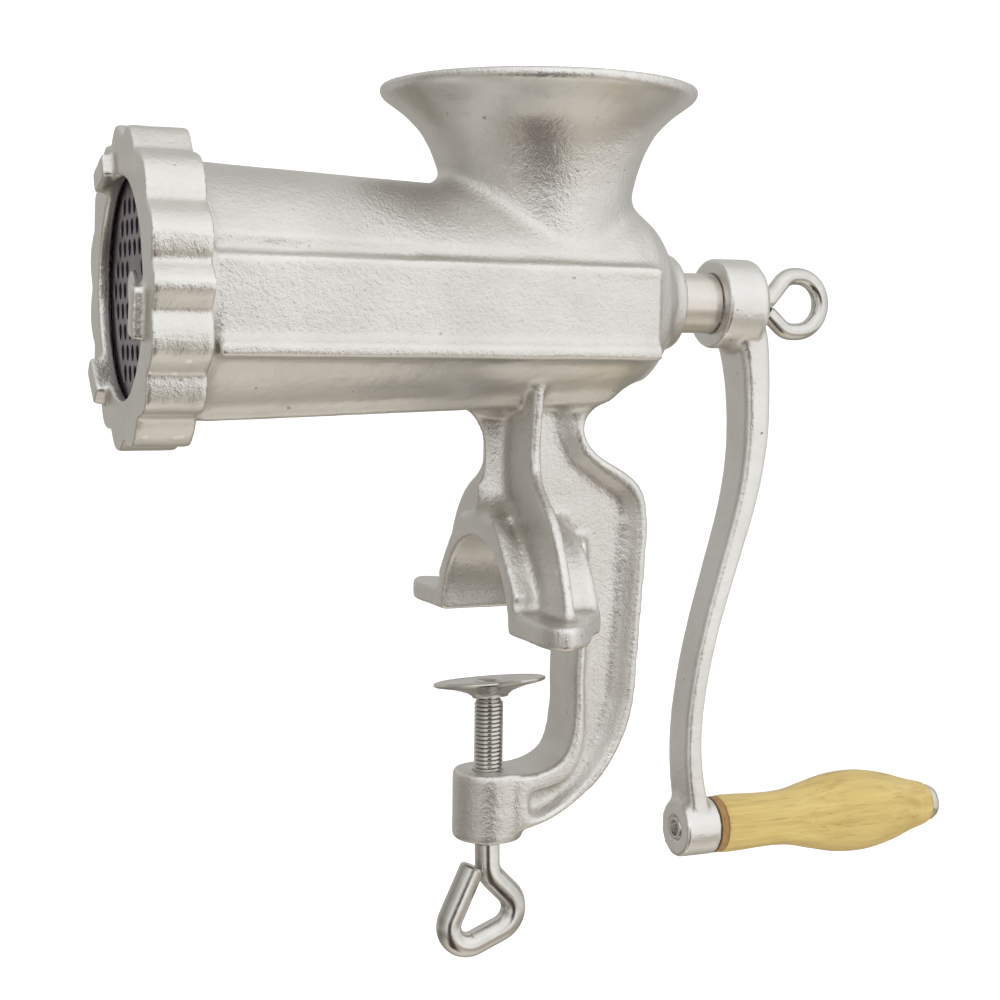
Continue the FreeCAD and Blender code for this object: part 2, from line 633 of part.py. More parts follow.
PIECES = {
    "barrel_casting": barrel,
    "hopper_casting": hopper,
    "saddle_casting": saddle,
    "clamp_frame_casting": clamp_frame,
    "plate_key_pin": key_pin_rod,
    "grinding_plate": grinding_plate,
    "ring_nut": ring_nut,
    "auger": auger,
    "knife_stud": knife_stud,
    "knife": knife,
    "thrust_washer": thrust_washer,
    "crank_arm": crank_arm,
    "eye_screw": eye_screw,
    "handle_pin": handle_pin,
    "handle_end_washer": end_washer,
    "wood_grip": wood_grip,
    "grip_collar": grip_collar,
    "clamp_screw": clamp_screw,
    "clamp_disc": clamp_disc,
}

os.makedirs("parts", exist_ok=True)
for name, make in PIECES.items():
    save(name, make())
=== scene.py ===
# %% [markdown]
# # A clamp-on hand crank meat grinder
# The imported model gives the grinder's pieces at their real size, and this script dresses them: rough
# tinned castings, bright bent rod, a dark drilled plate and a turned wooden grip. Loading comes first,
# because every other step measures the loaded pieces. The model's box is kept, and the floor is set below it.

# %% Load the imported model
import math

import bmesh
import bpy
import numpy as np
from mathutils import Matrix, Vector


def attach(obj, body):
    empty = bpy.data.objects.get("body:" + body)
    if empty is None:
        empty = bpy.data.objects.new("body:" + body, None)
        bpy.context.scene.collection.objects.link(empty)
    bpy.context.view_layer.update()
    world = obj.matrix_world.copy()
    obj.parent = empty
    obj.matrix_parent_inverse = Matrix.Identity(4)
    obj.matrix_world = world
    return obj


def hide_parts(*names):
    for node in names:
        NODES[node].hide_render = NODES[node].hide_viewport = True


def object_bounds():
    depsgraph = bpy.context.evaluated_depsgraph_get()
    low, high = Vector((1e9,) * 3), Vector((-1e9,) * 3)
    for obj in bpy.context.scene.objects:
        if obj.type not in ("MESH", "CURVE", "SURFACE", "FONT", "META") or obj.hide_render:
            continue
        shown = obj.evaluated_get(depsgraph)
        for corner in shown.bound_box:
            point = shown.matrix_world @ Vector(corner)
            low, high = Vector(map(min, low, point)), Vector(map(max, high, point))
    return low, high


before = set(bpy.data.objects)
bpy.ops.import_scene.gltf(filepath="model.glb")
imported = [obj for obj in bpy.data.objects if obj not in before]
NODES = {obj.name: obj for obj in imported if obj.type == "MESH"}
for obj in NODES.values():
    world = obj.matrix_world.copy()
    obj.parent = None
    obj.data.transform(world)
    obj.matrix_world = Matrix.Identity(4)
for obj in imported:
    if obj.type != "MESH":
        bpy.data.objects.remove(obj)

CAD_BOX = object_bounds()
MM = 0.001

# %% [markdown]
# ## The camera
# A product photograph like this one is taken from the outlet side, a little below the barrel, with a
# short telephoto lens. A camera in Blender is an object whose own axes are right, up and backward, so the
# azimuth, elevation and roll below are turned into those three vectors and written as its matrix. The
# focal length is worked out in pixels of a square picture and then turned into millimetres of lens.

# %% Camera
IMAGE_SIDE = 1000.0
FOCAL_PIXELS = 1790.6
CAMERA_PLACE = Vector((-164.6, -392.1, 66.6)) * MM
CAMERA_AZIMUTH = math.radians(-23.04)
CAMERA_ELEVATION = math.radians(5.02)
CAMERA_ROLL = math.radians(0.8)


def camera_axes(azimuth, elevation, roll):
    backward = Vector((math.sin(azimuth) * math.cos(elevation),
                       -math.cos(azimuth) * math.cos(elevation), math.sin(elevation)))
    level = Vector((math.cos(azimuth), math.sin(azimuth), 0.0))
    above = backward.cross(level)
    right = level * math.cos(roll) + above * math.sin(roll)
    up = above * math.cos(roll) - level * math.sin(roll)
    return right, up, backward


lens = bpy.data.cameras.new("photo_lens")
lens.sensor_fit = "HORIZONTAL"
lens.sensor_width = 36.0
lens.lens = FOCAL_PIXELS / IMAGE_SIDE * lens.sensor_width
lens.clip_start = 0.01
camera = bpy.data.objects.new("photo_camera", lens)
bpy.context.scene.collection.objects.link(camera)
axes = camera_axes(CAMERA_AZIMUTH, CAMERA_ELEVATION, CAMERA_ROLL)
camera.matrix_world = Matrix.Translation(CAMERA_PLACE) @ Matrix(axes).transposed().to_4x4()
bpy.context.scene.camera = camera
print("lens", round(lens.lens, 1), "mm at", [round(v, 3) for v in CAMERA_PLACE])

# %% [markdown]
# ## Small makers
# Five helpers are used all the way down. Two make an object, from a mesh or from points and faces. One bakes
# an object's modifiers into its mesh, and one shades its faces smooth. The last hands a finished piece to the
# frame: which body it moves with, which nodes it stands for and which finish it takes.

# %% Helpers for pieces


def new_piece(name, mesh):
    piece = bpy.data.objects.new(name, mesh)
    bpy.context.scene.collection.objects.link(piece)
    return piece


def mesh_piece(name, points, faces):
    mesh = bpy.data.meshes.new(name)
    mesh.from_pydata([tuple(p) for p in points], [], faces)
    mesh.update()
    return new_piece(name, mesh)


def settle(piece):
    """Turn the piece's modifiers into plain mesh."""
    graph = bpy.context.evaluated_depsgraph_get()
    graph.update()
    mesh = bpy.data.meshes.new_from_object(piece.evaluated_get(graph))
    piece.modifiers.clear()
    piece.data = mesh
    return piece


def smooth_faces(piece, angle=None):
    piece.data.shade_smooth()
    if angle is not None:
        piece.data.set_sharp_from_angle(angle=math.radians(angle))


def hand_over(piece, body, slot, material, *replaced):
    piece.data.materials.clear()
    piece.data.materials.append(material)
    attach(piece, body)
    if replaced:
        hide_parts(*replaced)
    print(piece.name, "faces", len(piece.data.polygons), "rides on", body)


print("piece helpers ready")

# %% [markdown]
# ## Shared effect: sand-cast skin
# Iron poured in a sand mould keeps the print of the grains, and the tin coat over it softens them but
# doesn't hide them. The group below mixes three sizes of noise into one height, and gives out a mask of
# pits and a slow mottle as well. It reads object coordinates in metres, so the scale is turned to
# millimetres first and the grain is the same size on every casting.

# %% Node group: sand_skin


def new_group(name, inputs, outputs):
    group = bpy.data.node_groups.new(name, "ShaderNodeTree")
    for label, default in inputs:
        socket = group.interface.new_socket(label, in_out="INPUT", socket_type="NodeSocketFloat")
        socket.default_value = default
    for label in outputs:
        group.interface.new_socket(label, in_out="OUTPUT", socket_type="NodeSocketFloat")
    return group, group.nodes.new("NodeGroupInput"), group.nodes.new("NodeGroupOutput")


def add(tree, kind, links=(), **values):
    """Add a node, set its properties, and link {socket: source socket} pairs into it."""
    node = tree.nodes.new(kind)
    for key, value in values.items():
        setattr(node, key, value)
    for socket, source in dict(links).items():
        if hasattr(source, "is_output"):
            tree.links.new(source, node.inputs[socket])
        else:
            node.inputs[socket].default_value = source
    return node


def maths(tree, operation, first, second):
    node = add(tree, "ShaderNodeMath", {0: first, 1: second}, operation=operation)
    return node.outputs[0]


def noise_of(tree, vector, scale, detail=3.0, rough=0.55):
    node = add(tree, "ShaderNodeTexNoise", {"Vector": vector, "Scale": scale, "Detail": detail, "Roughness": rough})
    return node.outputs["Fac"]


def span(tree, value, low, high, out_low=0.0, out_high=1.0):
    node = add(tree, "ShaderNodeMapRange", {"Value": value, "From Min": low, "From Max": high,
                                            "To Min": out_low, "To Max": out_high})
    return node.outputs["Result"]


def millimetres(tree, stretch=(1.0, 1.0, 1.0)):
    """Object coordinates in millimetres, stretched along the axes."""
    place = add(tree, "ShaderNodeTexCoord").outputs["Object"]
    scale = tuple(s / MM for s in stretch)
    return add(tree, "ShaderNodeVectorMath", {0: place, 1: scale}, operation="MULTIPLY").outputs[0]


sand, given, out = new_group("sand_skin", [("Grain", 1.0), ("Pits", 1.0)], ["Height", "Pits", "Mottle"])
place = millimetres(sand)
waves = noise_of(sand, place, 0.22, 2.0)
grains = noise_of(sand, place, 1.0, 3.0, 0.6)
dust = noise_of(sand, place, 2.6, 2.0, 0.6)
cells = add(sand, "ShaderNodeTexVoronoi", {"Vector": place, "Scale": 0.36, "Randomness": 1.0})
pits = span(sand, cells.outputs["Distance"], 0.16, 0.05)
pits = maths(sand, "MULTIPLY", pits, span(sand, noise_of(sand, place, 0.08), 0.54, 0.66))
relief = maths(sand, "ADD", maths(sand, "MULTIPLY", grains, 0.9), maths(sand, "MULTIPLY", dust, 0.45))
relief = maths(sand, "MULTIPLY", relief, given.outputs["Grain"])
relief = maths(sand, "ADD", relief, maths(sand, "MULTIPLY", waves, 0.3))
sunk = maths(sand, "MULTIPLY", pits, given.outputs["Pits"])
sand.links.new(maths(sand, "SUBTRACT", relief, maths(sand, "MULTIPLY", sunk, 0.6)), out.inputs["Height"])
sand.links.new(sunk, out.inputs["Pits"])
sand.links.new(span(sand, noise_of(sand, place, 0.05, 5.0, 0.7), 0.3, 0.7), out.inputs["Mottle"])
print("group", sand.name, "with", len(sand.nodes), "nodes")

# %% [markdown]
# ## Finish: tinned cast iron
# Tin over iron is a warm, pale silver that is neither mirror nor paint. A metallic Principled shader with
# a middling roughness gives that, and the sand skin drives its bump. The skin is smoother where it faces
# down, since the lower half of the mould was dressed finer. Pointiness tells outside corners from hollows,
# so rubbed edges can be brighter, as on the real casting, and hollows get a painted shade of grey.

# %% Material: tinned iron
# Painted shade: the grey laid into hollows and inside corners of the castings.
PAINTED_HOLLOW_SHADE = (0.42, 0.39, 0.33)
RUBBED_TIN = (0.94, 0.935, 0.915)
PIT_BROWN = (0.34, 0.31, 0.26)
SKIN_DEPTH = 0.00036


def new_material(name):
    material = bpy.data.materials.new(name)
    material.use_nodes = True
    material.node_tree.nodes.clear()
    tree = material.node_tree
    shader = tree.nodes.new("ShaderNodeBsdfPrincipled")
    output = tree.nodes.new("ShaderNodeOutputMaterial")
    tree.links.new(shader.outputs[0], output.inputs["Surface"])
    return material, tree, shader


def blend_colours(tree, factor, first, second):
    node = tree.nodes.new("ShaderNodeMix")
    node.data_type = "RGBA"
    tree.links.new(factor, node.inputs["Factor"])
    for socket, colour in ((6, first), (7, second)):
        if hasattr(colour, "is_output"):
            tree.links.new(colour, node.inputs[socket])
        else:
            node.inputs[socket].default_value = (*colour, 1.0)
    return node.outputs[2]


def place_group(tree, group, **values):
    node = tree.nodes.new("ShaderNodeGroup")
    node.node_tree = group
    for label, value in values.items():
        node.inputs[label].default_value = value
    return node


def bump(tree, shader, height, distance, strength=1.0):
    node = add(tree, "ShaderNodeBump", {"Height": height, "Distance": distance, "Strength": strength})
    tree.links.new(node.outputs[0], shader.inputs["Normal"])


def tinned_iron(name, grain, pale, grey):
    """Tin on iron, with the sand's print on all but the faces that look down, and a painted shade in its hollows."""
    material, tree, shader = new_material(name)
    surface = add(tree, "ShaderNodeNewGeometry").outputs
    facing = add(tree, "ShaderNodeSeparateXYZ", {0: surface["Normal"]}).outputs["Z"]
    skin_node = place_group(tree, sand, Pits=1.0)
    tree.links.new(span(tree, facing, -0.75, -0.2, 0.25 * grain, grain), skin_node.inputs["Grain"])
    skin = skin_node.outputs
    edges = surface["Pointiness"]
    worn = span(tree, edges, 0.505, 0.56)
    # Painted shade: hollows and inside corners are greyed where shade would fall.
    crease_shade = span(tree, edges, 0.495, 0.45)
    colour = blend_colours(tree, skin["Mottle"], grey, pale)
    colour = blend_colours(tree, maths(tree, "MULTIPLY", crease_shade, 0.3), colour, PAINTED_HOLLOW_SHADE)
    colour = blend_colours(tree, maths(tree, "MULTIPLY", worn, 0.75), colour, RUBBED_TIN)
    colour = blend_colours(tree, maths(tree, "MULTIPLY", skin["Pits"], 0.45), colour, PIT_BROWN)
    tree.links.new(colour, shader.inputs["Base Color"])
    rough = span(tree, skin["Mottle"], 0.0, 1.0, 0.36, 0.28)
    rough = maths(tree, "SUBTRACT", rough, maths(tree, "MULTIPLY", worn, 0.08))
    tree.links.new(rough, shader.inputs["Roughness"])
    shader.inputs["Metallic"].default_value = 1.0
    bump(tree, shader, skin["Height"], SKIN_DEPTH)
    return material


CAST_SKIN = tinned_iron("tinned_casting", 0.6, (0.79, 0.78, 0.75), (0.72, 0.705, 0.67))
RING_SKIN = tinned_iron("tinned_ring", 0.5, (0.83, 0.82, 0.785), (0.76, 0.745, 0.71))
CRANK_SKIN = tinned_iron("tinned_crank", 0.3, (0.84, 0.835, 0.81), (0.78, 0.77, 0.74))
print("cast finishes", CAST_SKIN.name, RING_SKIN.name, CRANK_SKIN.name)

# %% [markdown]
# ## Shared effect: lathe and rolling marks
# Turned and drawn metal carries fine lines round or along it. Noise that is squeezed along one axis makes
# such lines without any picture, and the same group serves steel, rod and wood by its stretch.

# %% Node group: drawn_lines
drawn, given, out = new_group("drawn_lines", [("Along", 0.05), ("Across", 2.0)], ["Lines", "Cloud"])
place = add(drawn, "ShaderNodeTexCoord").outputs["Object"]
squeeze = add(drawn, "ShaderNodeCombineXYZ", {"X": given.outputs["Along"], "Y": given.outputs["Across"],
                                              "Z": given.outputs["Across"]})
lines_at = add(drawn, "ShaderNodeVectorMath", {0: place, 1: squeeze.outputs[0]}, operation="MULTIPLY").outputs[0]
lines_at = add(drawn, "ShaderNodeVectorMath", {0: lines_at, "Scale": 1.0 / MM}, operation="SCALE").outputs[0]
drawn.links.new(noise_of(drawn, lines_at, 1.0, 4.0, 0.6), out.inputs["Lines"])
drawn.links.new(noise_of(drawn, millimetres(drawn), 0.12, 3.0), out.inputs["Cloud"])
print("group", drawn.name, "with", len(drawn.nodes), "nodes")

# %% [markdown]
# ## Finishes: steel and fibre
# Three steels differ mostly in colour and roughness: the zinc-plated rod is bright, the turned journal is
# brighter still with lines round it, and the drilled plate is a darker tool steel. The brown collar is
# pressed fibre, so it isn't metallic at all.

# %% Materials: steels and fibre


def steel(name, bright, dull, rough, along, across, depth):
    material, tree, shader = new_material(name)
    marks = place_group(tree, drawn, Along=along, Across=across).outputs
    crease_shade = span(tree, add(tree, "ShaderNodeNewGeometry").outputs["Pointiness"], 0.49, 0.42)
    colour = blend_colours(tree, span(tree, marks["Cloud"], 0.3, 0.7), dull, bright)
    # Painted shade: inside corners are darkened toward near-black where shade would fall.
    colour = blend_colours(tree, maths(tree, "MULTIPLY", crease_shade, 0.6), colour, (0.20, 0.19, 0.17))
    tree.links.new(colour, shader.inputs["Base Color"])
    lines = span(tree, marks["Lines"], 0.25, 0.75, rough - 0.05, rough + 0.07)
    tree.links.new(lines, shader.inputs["Roughness"])
    shader.inputs["Metallic"].default_value = 1.0
    bump(tree, shader, marks["Lines"], depth)
    return material


ROD_STEEL = steel("plated_rod", (0.78, 0.775, 0.75), (0.62, 0.61, 0.58), 0.18, 0.30, 0.30, 0.00005)
JOURNAL_STEEL = steel("turned_journal", (0.80, 0.765, 0.71), (0.74, 0.705, 0.65), 0.30, 1.2, 0.04, 0.00001)
PLATE_STEEL = steel("plate_steel", (0.36, 0.335, 0.36), (0.27, 0.25, 0.27), 0.40, 0.6, 0.6, 0.00005)


def fibre_material():
    material, tree, shader = new_material("brown_fibre")
    marks = place_group(tree, drawn, Along=1.2, Across=0.4).outputs
    colour = blend_colours(tree, span(tree, marks["Lines"], 0.3, 0.7), (0.21, 0.105, 0.03), (0.33, 0.185, 0.06))
    tree.links.new(colour, shader.inputs["Base Color"])
    shader.inputs["Roughness"].default_value = 0.55
    bump(tree, shader, marks["Lines"], 0.0001)
    return material


FIBRE = fibre_material()
print("steels", ROD_STEEL.name, JOURNAL_STEEL.name, PLATE_STEEL.name, "and", FIBRE.name)

# %% [markdown]
# ## Finish: varnished wood
# The grip is turned from a pale straight-grained wood and varnished a honey yellow. Grain lines run along
# the grip, so the noise is stretched along X; a second, finer set gives the short dark pores, and a thin
# clear coat carries the gloss.

# %% Material: wood


def wood_material():
    material, tree, shader = new_material("varnished_wood")
    at = millimetres(tree, (0.05, 1.0, 1.0))
    warp = noise_of(tree, millimetres(tree, (0.4, 1.0, 1.0)), 0.07, 3.0)
    bands = add(tree, "ShaderNodeTexNoise", {"Vector": at, "Scale": 0.42, "Detail": 5.0, "Roughness": 0.6,
                                             "Distortion": 0.6}).outputs["Fac"]
    pores = noise_of(tree, millimetres(tree, (0.07, 2.2, 2.2)), 0.8, 2.0, 0.7)
    dark_pores = span(tree, pores, 0.60, 0.70)
    colour = blend_colours(tree, span(tree, bands, 0.32, 0.68), (0.36, 0.225, 0.042), (0.53, 0.395, 0.118))
    colour = blend_colours(tree, span(tree, warp, 0.35, 0.7, 0.0, 0.45), colour, (0.57, 0.465, 0.19))
    colour = blend_colours(tree, maths(tree, "MULTIPLY", dark_pores, 0.35), colour, (0.27, 0.145, 0.03))
    tree.links.new(colour, shader.inputs["Base Color"])
    shader.inputs["Roughness"].default_value = 0.42
    shader.inputs["Coat Weight"].default_value = 0.35
    shader.inputs["Coat Roughness"].default_value = 0.22
    bump(tree, shader, maths(tree, "SUBTRACT", bands, maths(tree, "MULTIPLY", dark_pores, 0.6)), 0.00012)
    return material


WOOD = wood_material()
print("finish", WOOD.name)

# %% [markdown]
# ## The castings
# A sand casting has no sharp corner: inside corners are filled by a fillet and outside corners are
# rounded. Bevels on every edge would be slow to place by hand, so the solids are turned into voxels, grown
# and shrunk again. Growing lets two walls run into each other, and shrinking back leaves a fillet where
# they met. A few rounds of smoothing then take the crispness off the outside corners.

# %% Helpers for castings


def joined_copy(name, *meshes):
    form = bmesh.new()
    for mesh in meshes:
        form.from_mesh(mesh)
    bmesh.ops.remove_doubles(form, verts=form.verts, dist=0.001 * MM)
    mesh = bpy.data.meshes.new(name)
    form.to_mesh(mesh)
    form.free()
    return new_piece(name, mesh)


def voxels(piece, size):
    step = piece.modifiers.new("voxels", "REMESH")
    step.mode = "VOXEL"
    step.voxel_size = size
    step.use_smooth_shade = True


def swell(piece, distance):
    step = piece.modifiers.new("swell", "DISPLACE")
    step.direction = "NORMAL"
    step.mid_level = 0.0
    step.strength = distance


def soften(piece, rounds, group=""):
    step = piece.modifiers.new("soften", "SMOOTH")
    step.factor = 0.5
    step.iterations = rounds
    step.vertex_group = group


def soften_part(piece, label, weights, rounds):
    """Soften only where the weights are above zero, in four steps of strength."""
    group = piece.vertex_groups.new(name=label)
    for level in (0.25, 0.5, 0.75, 1.0):
        chosen = np.flatnonzero(np.ceil(weights * 4.0) / 4.0 == level)
        group.add([int(index) for index in chosen], level, "REPLACE")
    soften(piece, rounds, label)


def waver(piece, grain, height, seed):
    """Push the skin in and out a little with soft clouds, as sand moulds do."""
    clouds = bpy.data.textures.new(piece.name + "_waver", "CLOUDS")
    clouds.noise_scale = grain
    clouds.noise_depth = 2
    shift = bpy.data.objects.new(piece.name + "_waver_place", None)
    bpy.context.scene.collection.objects.link(shift)
    shift.location = (seed * 0.37, seed * 0.11, seed * 0.23)
    step = piece.modifiers.new("waver", "DISPLACE")
    step.texture = clouds
    step.texture_coords = "OBJECT"
    step.texture_coords_object = shift
    step.mid_level = 0.5
    step.strength = height
    return shift


def filleted(piece, size, fillet):
    voxels(piece, size)
    swell(piece, fillet)
    voxels(piece, size)
    swell(piece, -fillet)
    voxels(piece, size)
    return settle(piece)


def cast_skin(piece, rounds, wave_height, seed):
    soften(piece, rounds)
    helpers = [waver(piece, 9.0 * MM, wave_height, seed), waver(piece, 2.4 * MM, 0.4 * wave_height, seed + 1)]
    settle(piece)
    for helper in helpers:
        bpy.data.objects.remove(helper)
    smooth_faces(piece)
    return piece


def read_points(mesh):
    """All points of a mesh in millimetres, one row each."""
    flat = np.empty(len(mesh.vertices) * 3)
    mesh.vertices.foreach_get("co", flat)
    return flat.reshape(-1, 3) / MM


def write_points(mesh, points):
    mesh.vertices.foreach_set("co", (points * MM).ravel())
    mesh.update()


def rise(values, low, high):
    """0 up to low, 1 from high on, and a smooth slope between."""
    t = np.clip((values - low) / (high - low), 0.0, 1.0)
    return t * t * (3.0 - 2.0 * t)


def fall(values, low, high):
    """1 up to low, 0 from high on, and a smooth slope between."""
    return 1.0 - rise(values, low, high)


print("casting helpers ready")

# %% [markdown]
# ## Barrel, hopper, saddle and clamp frame
# These are one casting on the real grinder. Each solid is first swollen by a hair so that neighbours overlap,
# because two solids that only touch would leave a thin wall of air between them as voxels. The hopper grows
# out of the barrel with a wide fillet, so those two are joined first. A slab and a bar are added for the long
# panel, which leans with the barrel's taper and has a raised lower edge. The neck and the clamp frame, whose
# corners are tighter, come last. The side ribs draw in above the arch, as the real ones do.

# %% Casting: the rough body
BODY_NODES = ("barrel_casting", "hopper_casting", "saddle_casting", "clamp_frame_casting")
BODY_VOXEL = 0.6 * MM
HAIR = 0.35 * MM
WIDE_FILLET = 2.6 * MM
RIB_ROOT = 9.0
RIB_DRAW = 0.41
RIB_HEIGHTS = (29.5, 38.0)
RIB_FRONT = 8.0
RIB_SET_BACK = 1.2
KEEL_END = 26.0
KEEL_TOP = 56.5
KEEL_HALF_WIDTH = 11.7
KEEL_RISE = 4.5
KEEL_RUN = 4.6
PANEL_ENDS = (-73.5, 30.6)
PANEL_DEPTHS = (28.9, 27.0)
PANEL_HEIGHTS = (63.3, 84.3)
LIP_HEIGHTS = (62.9, 66.2)
LIP_STEP = 1.3


def eased_end(mesh):
    """A copy of the barrel whose flat keel slopes up into the round end."""
    form = bmesh.new()
    form.from_mesh(mesh)
    everything = form.verts[:] + form.edges[:] + form.faces[:]
    bmesh.ops.bisect_plane(form, geom=everything, plane_co=(KEEL_END * MM, 0, 0), plane_no=(1, 0, 0))
    for point in form.verts:
        x, y, z = point.co / MM
        if x > KEEL_END + 1.0 and z < KEEL_TOP and abs(y) < KEEL_HALF_WIDTH:
            point.co.z += KEEL_RISE * MM * (x - KEEL_END) / KEEL_RUN
    copy = bpy.data.meshes.new("barrel_eased")
    form.to_mesh(copy)
    form.free()
    return copy


def drawn_in_ribs(mesh):
    """A copy of the frame whose two side ribs draw in above the arch."""
    copy = mesh.copy()
    points = read_points(copy)
    beyond = np.maximum(np.abs(points[:, 1]) - RIB_ROOT, 0.0)
    share = rise(points[:, 2], *RIB_HEIGHTS) * (beyond > 0.0) * (points[:, 0] < RIB_FRONT)
    points[:, 1] -= np.sign(points[:, 1]) * RIB_DRAW * beyond * share
    points[:, 0] += RIB_SET_BACK * share * np.minimum(beyond / 4.0, 1.0)
    write_points(copy, points)
    return copy


def long_slab(name, depth_more, heights):
    """A slab along the near side of the barrel, deeper at the outlet end."""
    points = []
    for x, depth in zip(PANEL_ENDS, PANEL_DEPTHS):
        for y in (-depth - depth_more, -12.0):
            points += [Vector((x, y, z)) * MM for z in heights]
    faces = [(0, 1, 3, 2), (4, 6, 7, 5), (0, 4, 5, 1), (2, 3, 7, 6), (1, 5, 7, 3), (0, 2, 6, 4)]
    return mesh_piece(name, points, faces)


rough = {name: NODES[name].data for name in BODY_NODES}
rough["barrel_casting"] = eased_end(rough["barrel_casting"])
rough["clamp_frame_casting"] = drawn_in_ribs(rough["clamp_frame_casting"])
lumps = [joined_copy(name + "_rough", mesh) for name, mesh in rough.items()]
lumps += [long_slab("panel_slab", 0.0, PANEL_HEIGHTS), long_slab("panel_lip", LIP_STEP, LIP_HEIGHTS)]
for lump in lumps:
    voxels(lump, BODY_VOXEL)
    swell(lump, HAIR)
    settle(lump)
pot = filleted(joined_copy("barrel_and_hopper", *[lump.data for lump in lumps[:2]]), BODY_VOXEL, WIDE_FILLET)
body_casting = joined_copy("body_casting", pot.data, *[lump.data for lump in lumps[2:]])
for lump in [pot] + lumps:
    bpy.data.objects.remove(lump)
print("rough body of", len(body_casting.data.vertices), "points")

# %% [markdown]
# ## Draft and coves
# Some shapes are easier to press into the voxels than to build. The wall of the clamp frame's hollow leans
# outward, so that the sand could be drawn from it: points at a certain distance from the frame's outer edge
# are set on a slope. A shallow cove runs along the top of the long panel, deeper at the outlet end. The front
# of the neck comes to a narrow nose.

# %% Casting: helpers that press shapes in
FRAME_EDGE = [(7.4, -49.5), (14.0, -47.5), (18.0, -45.4), (22.0, -42.6), (25.1, -40.0), (29.2, -35.0), (32.1, -30.0),
              (35.1, -20.0), (36.6, 0.0), (37.9, 20.0), (37.8, 26.0), (37.0, 30.0), (34.3, 34.0), (27.9, 38.0),
              (22.6, 42.0), (20.6, 46.0), (20.3, 50.0)]
HOLLOW_FLOOR = 5.0
FRAME_HALF_WIDTH = 8.5
HOLLOW_FRONT = 8.4
HOLLOW_TOP = 50.6
SHOULDER = 24.0
SHOULDER_REACH = 8.0
SLOPE_TOP = 2.2
SLOPE_FOOT = 5.4
TAIL_HEIGHTS = (-46.0, -30.0)
TAIL_LOSS = (0.6, 2.2)
NEAR_SIDE = -14.0
COVE_DEPTH = 2.9
COVE_HEIGHT = 3.6
COVE_LOSS = 1.9
NOSE_DRAW = 0.58
NOSE_SLOPE = 1.3
NOSE_FOOT = (24.0, 32.0)
NOSE_HEAD = (48.5, 52.0)
NOSE_ENDS = (-8.0, 2.3)
NOSE_HALF_WIDTH = 9.2


def distance_to_line(points, line):
    """The distance of (x, z) rows from a broken line."""
    nearest = np.full(len(points), np.inf)
    for start, end in zip(np.array(line), np.array(line[1:])):
        along = end - start
        t = np.clip(((points - start) @ along) / (along @ along), 0.0, 1.0)
        nearest = np.minimum(nearest, np.hypot(*(points - start - t[:, None] * along).T))
    return nearest


def slope_hollow(points):
    """Set the outer wall of the frame's hollow on a slope."""
    x, y, z = points.T
    away = distance_to_line(points[:, [0, 2]], FRAME_EDGE)
    narrow = fall(z, *TAIL_HEIGHTS)
    top, foot = SLOPE_TOP - TAIL_LOSS[0] * narrow, SLOPE_FOOT - TAIL_LOSS[1] * narrow
    share = np.clip((foot - away) / (foot - top), 0.0, 1.0)
    limit = HOLLOW_FLOOR + (FRAME_HALF_WIDTH - HOLLOW_FLOOR) * share
    reach = np.abs(y)
    held = (away < np.where(z > SHOULDER, SHOULDER_REACH, foot)) & (share < 1.0)
    held &= (x > HOLLOW_FRONT) & (z < HOLLOW_TOP)
    held &= (reach > HOLLOW_FLOOR - 0.7) & (reach < FRAME_HALF_WIDTH + 1.0)
    points[held, 1] = np.sign(points[held, 1]) * limit[held]


def press_cove(points):
    """Press a cove into the barrel just above the panel's upper edge."""
    x, y, z = points.T
    share = np.clip((x - PANEL_ENDS[0]) / (PANEL_ENDS[1] - PANEL_ENDS[0]), 0.0, 1.0)
    height = COVE_HEIGHT - COVE_LOSS * share
    above = (z - PANEL_HEIGHTS[1] - 0.3) / height
    near = (y < NEAR_SIDE) & (x > PANEL_ENDS[0] - 1.0) & (x < PANEL_ENDS[1]) & (above > 0.0) & (above < 1.0)
    points[near, 1] += COVE_DEPTH * (1.0 - 0.5 * share[near]) * (1.0 - above[near])


def narrow_nose(points):
    """Draw the front of the neck in to a nose with sloping sides, between the arch and the barrel."""
    x, y, z = points.T
    share = rise(z, *NOSE_FOOT) * fall(z, *NOSE_HEAD)
    front = (x > NOSE_ENDS[0]) & (x < NOSE_ENDS[1]) & (np.abs(y) < NOSE_HALF_WIDTH) & (share > 0.0)
    points[front, 1] *= 1.0 - NOSE_DRAW * share[front]
    sloped = x + NOSE_SLOPE * np.abs(points[:, 1]) * share
    points[front, 0] = np.minimum(sloped, NOSE_ENDS[1])[front]


print("frame edge of", len(FRAME_EDGE), "points, cove", COVE_DEPTH, "mm deep")

# %% [markdown]
# ## Press, fillet and soften the body
# The shapes are pressed into the shrunk voxels, and a narrow fillet then fills the corners that are left. The
# cove, the barrel's heel, the backs of the legs and the frame are softened each by its own amount, because a
# founder dresses such places with a file. Most of the weights fade out at their edges, since a hard border would
# leave a dent. Low waves in the skin come last.

